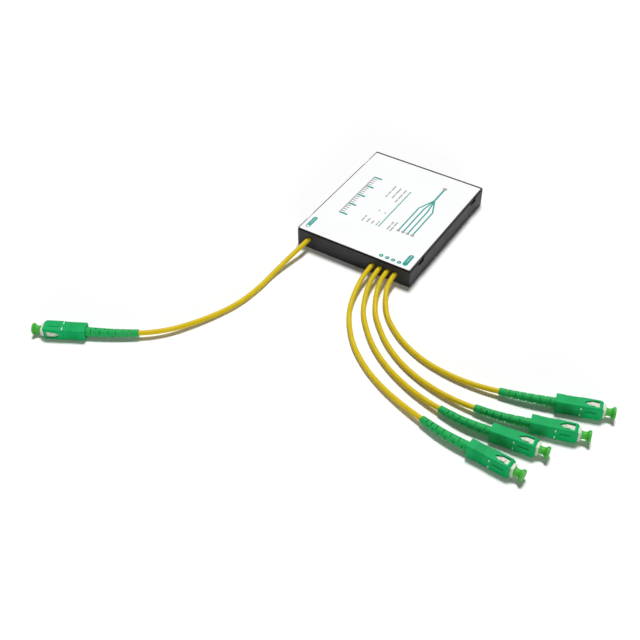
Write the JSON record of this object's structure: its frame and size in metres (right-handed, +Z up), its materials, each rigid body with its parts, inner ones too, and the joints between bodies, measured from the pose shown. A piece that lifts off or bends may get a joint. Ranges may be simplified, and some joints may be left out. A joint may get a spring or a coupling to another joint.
{
  "type": "fibre splitter cassette",
  "caption": "Flat black cassette that splits one optical fibre, with yellow pigtails ending in green push-pull plugs with dust caps.",
  "frame": {"origin": "centre of the case's underside", "axes": "+Z up out of the label, +Y to the rear of the case, away from the wall the cables leave through, +X to the right"},
  "size_m": [0.31, 0.2541, 0.013],
  "materials": {
    "case_plastic": "moulded black plastic, satin",
    "lid_plastic": "moulded black plastic, finer finish",
    "label_film": "printed white film label, low sheen",
    "cable_jacket": "yellow extruded cable jacket",
    "boot_rubber": "green soft strain relief",
    "grip_plastic": "green moulded plastic, satin",
    "frame_plastic": "cream moulded plastic",
    "cap_plastic": "light green soft cap",
    "crimp_brass": "plated brass, rolled",
    "plated_metal": "nickel plated",
    "spring_steel": "spring steel",
    "ceramic": "polished zirconia",
    "module_steel": "drawn steel",
    "foam": "closed cell foam pad",
    "silica": "polished silica",
    "seal_resin": "soft black sealant",
    "fibre_coating": "clear white coated fibre",
    "block_plastic": "black plastic block"
  },
  "bodies": {
    "case": {"case_base": "case_plastic", "input_cable_block": "block_plastic", "output_cable_block": "block_plastic", "splitter_tube": "module_steel", "foam_pad": "foam", "input_fibre_array": "silica", "splitter_chip": "silica", "output_fibre_array": "silica", "tube_end_seals": "seal_resin", "input_fibre": "fibre_coating", "output_fibres": "fibre_coating", "input_cable": "cable_jacket", "input_boot": "boot_rubber", "input_crimp_ring": "crimp_brass", "input_rear_body": "plated_metal", "input_spring": "spring_steel", "input_plug_frame": "frame_plastic", "output_1_cable": "cable_jacket", "output_1_boot": "boot_rubber", "output_1_crimp_ring": "crimp_brass", "output_1_rear_body": "plated_metal", "output_1_spring": "spring_steel", "output_1_plug_frame": "frame_plastic", "output_2_cable": "cable_jacket", "output_2_boot": "boot_rubber", "output_2_crimp_ring": "crimp_brass", "output_2_rear_body": "plated_metal", "output_2_spring": "spring_steel", "output_2_plug_frame": "frame_plastic", "output_3_cable": "cable_jacket", "output_3_boot": "boot_rubber", "output_3_crimp_ring": "crimp_brass", "output_3_rear_body": "plated_metal", "output_3_spring": "spring_steel", "output_3_plug_frame": "frame_plastic", "output_4_cable": "cable_jacket", "output_4_boot": "boot_rubber", "output_4_crimp_ring": "crimp_brass", "output_4_rear_body": "plated_metal", "output_4_spring": "spring_steel", "output_4_plug_frame": "frame_plastic"},
    "lid": {"case_lid": "lid_plastic", "top_label": "label_film"},
    "input_grip_slide_body": {"input_grip": "grip_plastic"},
    "input_ferrule_body": {"input_ferrule": "ceramic"},
    "input_cap_body": {"input_dust_cap": "cap_plastic"},
    "output_1_grip_slide_body": {"output_1_grip": "grip_plastic"},
    "output_1_ferrule_body": {"output_1_ferrule": "ceramic"},
    "output_1_cap_body": {"output_1_dust_cap": "cap_plastic"},
    "output_2_grip_slide_body": {"output_2_grip": "grip_plastic"},
    "output_2_ferrule_body": {"output_2_ferrule": "ceramic"},
    "output_2_cap_body": {"output_2_dust_cap": "cap_plastic"},
    "output_3_grip_slide_body": {"output_3_grip": "grip_plastic"},
    "output_3_ferrule_body": {"output_3_ferrule": "ceramic"},
    "output_3_cap_body": {"output_3_dust_cap": "cap_plastic"},
    "output_4_grip_slide_body": {"output_4_grip": "grip_plastic"},
    "output_4_ferrule_body": {"output_4_ferrule": "ceramic"},
    "output_4_cap_body": {"output_4_dust_cap": "cap_plastic"}
  },
  "joints": [
    {"name": "lid_lift", "type": "slide", "parent": "case", "child": "lid", "axis": [0, 0, 1], "range_m": [0, 0.02]},
    {"name": "input_cap_pull", "type": "slide", "parent": "case", "child": "input_cap_body", "axis": [-0.8861, -0.4636, 0], "range_m": [0, 0.015]},
    {"name": "input_grip_pull", "type": "slide", "parent": "case", "child": "input_grip_slide_body", "axis": [-0.8861, -0.4636, 0], "range_m": [-0.002, 0]},
    {"name": "input_ferrule_press", "type": "slide", "parent": "case", "child": "input_ferrule_body", "axis": [-0.8861, -0.4636, 0], "range_m": [-0.001, 0], "stiffness_N_per_m": 1500, "deforming": ["input_spring"]},
    {"name": "output_1_cap_pull", "type": "slide", "parent": "case", "child": "output_1_cap_body", "axis": [0.9978, -0.0657, 0], "range_m": [0, 0.015]},
    {"name": "output_1_grip_pull", "type": "slide", "parent": "case", "child": "output_1_grip_slide_body", "axis": [0.9978, -0.0657, 0], "range_m": [-0.002, 0]},
    {"name": "output_1_ferrule_press", "type": "slide", "parent": "case", "child": "output_1_ferrule_body", "axis": [0.9978, -0.0657, 0], "range_m": [-0.001, 0], "stiffness_N_per_m": 1500, "deforming": ["output_1_spring"]},
    {"name": "output_2_cap_pull", "type": "slide", "parent": "case", "child": "output_2_cap_body", "axis": [0.9955, 0.0943, 0], "range_m": [0, 0.015]},
    {"name": "output_2_grip_pull", "type": "slide", "parent": "case", "child": "output_2_grip_slide_body", "axis": [0.9955, 0.0943, 0], "range_m": [-0.002, 0]},
    {"name": "output_2_ferrule_press", "type": "slide", "parent": "case", "child": "output_2_ferrule_body", "axis": [0.9955, 0.0943, 0], "range_m": [-0.001, 0], "stiffness_N_per_m": 1500, "deforming": ["output_2_spring"]},
    {"name": "output_3_cap_pull", "type": "slide", "parent": "case", "child": "output_3_cap_body", "axis": [0.9648, 0.2631, 0], "range_m": [0, 0.015]},
    {"name": "output_3_grip_pull", "type": "slide", "parent": "case", "child": "output_3_grip_slide_body", "axis": [0.9648, 0.2631, 0], "range_m": [-0.002, 0]},
    {"name": "output_3_ferrule_press", "type": "slide", "parent": "case", "child": "output_3_ferrule_body", "axis": [0.9648, 0.2631, 0], "range_m": [-0.001, 0], "stiffness_N_per_m": 1500, "deforming": ["output_3_spring"]},
    {"name": "output_4_cap_pull", "type": "slide", "parent": "case", "child": "output_4_cap_body", "axis": [0.951, 0.3092, 0], "range_m": [0, 0.015]},
    {"name": "output_4_grip_pull", "type": "slide", "parent": "case", "child": "output_4_grip_slide_body", "axis": [0.951, 0.3092, 0], "range_m": [-0.002, 0]},
    {"name": "output_4_ferrule_press", "type": "slide", "parent": "case", "child": "output_4_ferrule_body", "axis": [0.951, 0.3092, 0], "range_m": [-0.001, 0], "stiffness_N_per_m": 1500, "deforming": ["output_4_spring"]}
  ]
}
